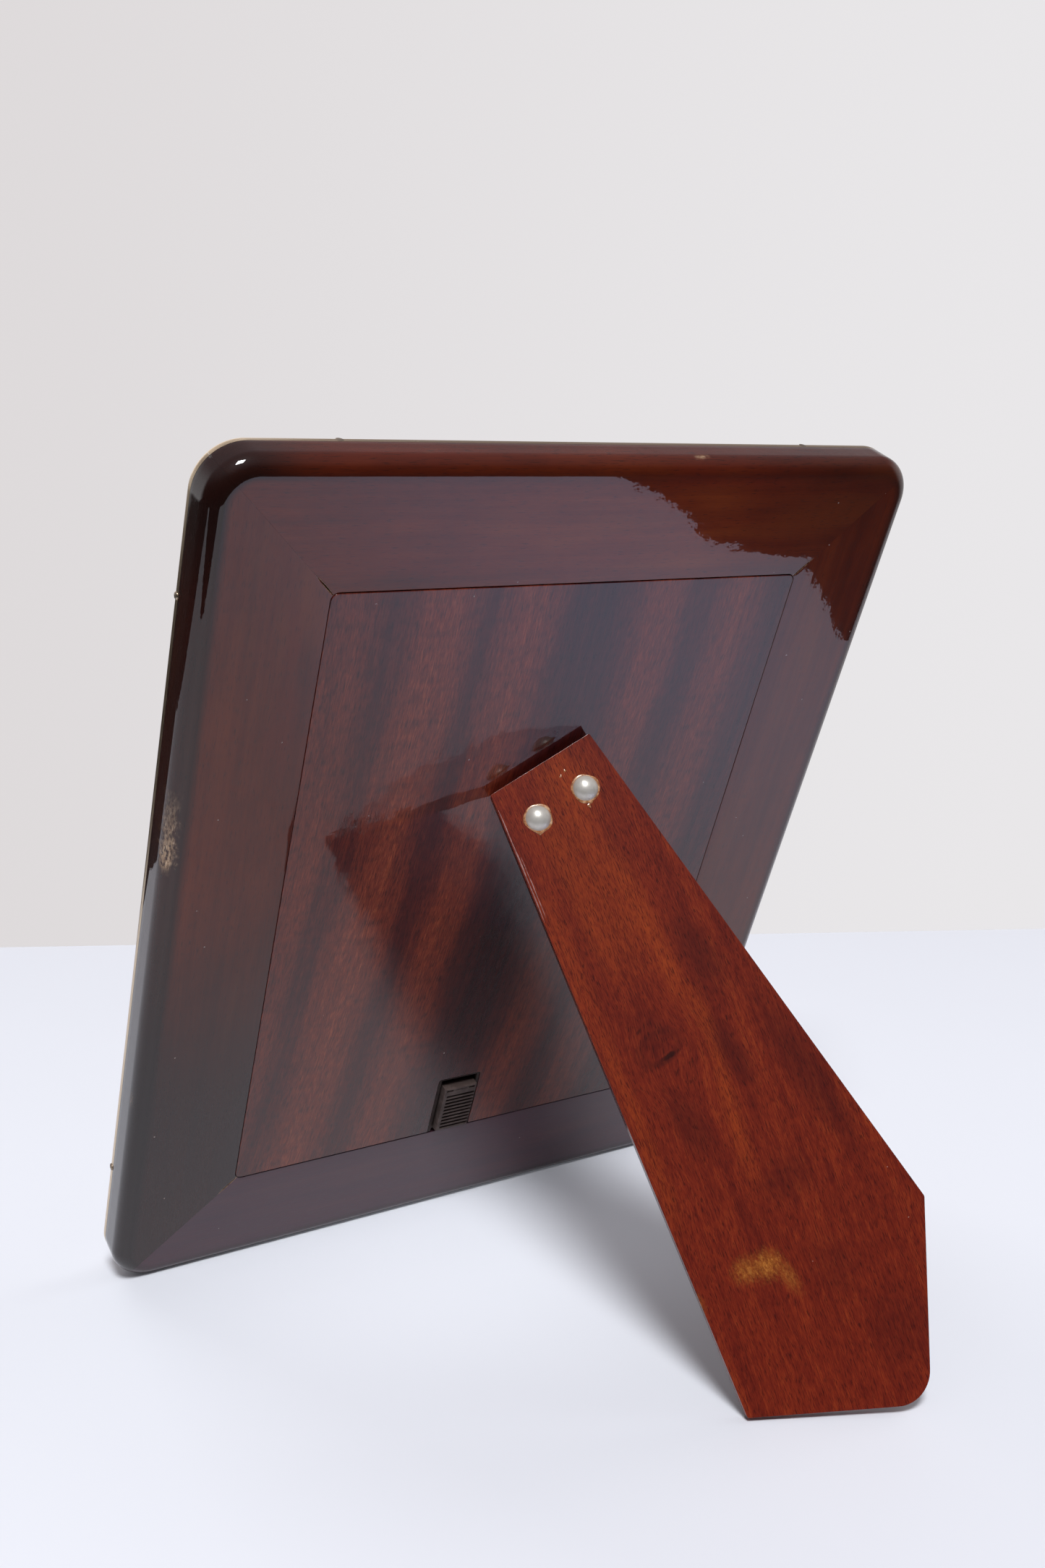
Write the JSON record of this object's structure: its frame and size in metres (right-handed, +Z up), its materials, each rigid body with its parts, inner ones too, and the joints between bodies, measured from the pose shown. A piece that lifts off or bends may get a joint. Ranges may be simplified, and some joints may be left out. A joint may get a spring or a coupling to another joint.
{
  "type": "easel-back picture frame",
  "caption": "Lacquered wooden picture frame with a pressed metal front, a removable veneered back panel with a sliding catch, and a slanting hinged strut that stands it upright or on its side.",
  "frame": {"origin": "middle of the frame's standing footprint, on the surface it stands on", "axes": "+Z up; the picture faces -Y and leans back; the strut is on the +Y side; +X is to the right of a person who looks at the picture"},
  "size_m": [0.226, 0.1886, 0.2621],
  "materials": {
    "mahogany_lacquer": "dark red-brown mahogany under a thick high-gloss lacquer",
    "zinc_steel": "zinc-plated steel",
    "silver_sheet": "pressed silver-coloured sheet, polished, faintly warm",
    "silver_pin": "small plated nail, tarnished at the rim",
    "clear_glass": "clear float glass",
    "photo_paper": "plain picture sheet",
    "corrugated_card": "corrugated card",
    "lining_paper": "black lining paper",
    "hardboard": "dense brown fibreboard",
    "sapele_veneer": "ribbon-striped veneer, satin lacquer",
    "black_plastic": "moulded black plastic",
    "brown_black_plastic": "moulded brown-black plastic, fine ribs",
    "brass_plate": "brass-plated steel",
    "brass_screw": "brass-plated screw",
    "strut_mahogany": "bright red mahogany, thin gloss lacquer",
    "nickel_dome": "satin nickel plate"
  },
  "bodies": {
    "frame": {"rail_top": "mahogany_lacquer", "rail_bottom": "mahogany_lacquer", "stile_left": "mahogany_lacquer", "stile_right": "mahogany_lacquer", "mitre_nails": "zinc_steel", "front_cover": "silver_sheet", "cover_pins": "silver_pin", "glass_pane": "clear_glass", "picture_print": "photo_paper", "filler_card": "corrugated_card", "panel_lining": "lining_paper", "panel_core": "hardboard", "panel_veneer": "sapele_veneer", "locating_pins": "zinc_steel", "catch_tray": "black_plastic", "hinge_fixed_leaf": "brass_plate", "hinge_pin": "zinc_steel", "hinge_screws": "brass_screw"},
    "strut": {"strut_board": "strut_mahogany", "hinge_moving_leaf": "brass_plate", "strut_rivets": "nickel_dome", "rivet_burrs": "nickel_dome"},
    "catch": {"catch_slider": "brown_black_plastic"}
  },
  "joints": [
    {"name": "strut_hinge", "type": "hinge", "parent": "frame", "child": "strut", "pos_m": [-0.0021, -0.01791, 0.16375], "axis": [-0.8545, 0.1816, 0.4867], "range_deg": [0, 51]},
    {"name": "catch_slide", "type": "slide", "parent": "frame", "child": "catch", "axis": [0, 0.3496, 0.9369], "range_m": [0, 0.0022]}
  ]
}
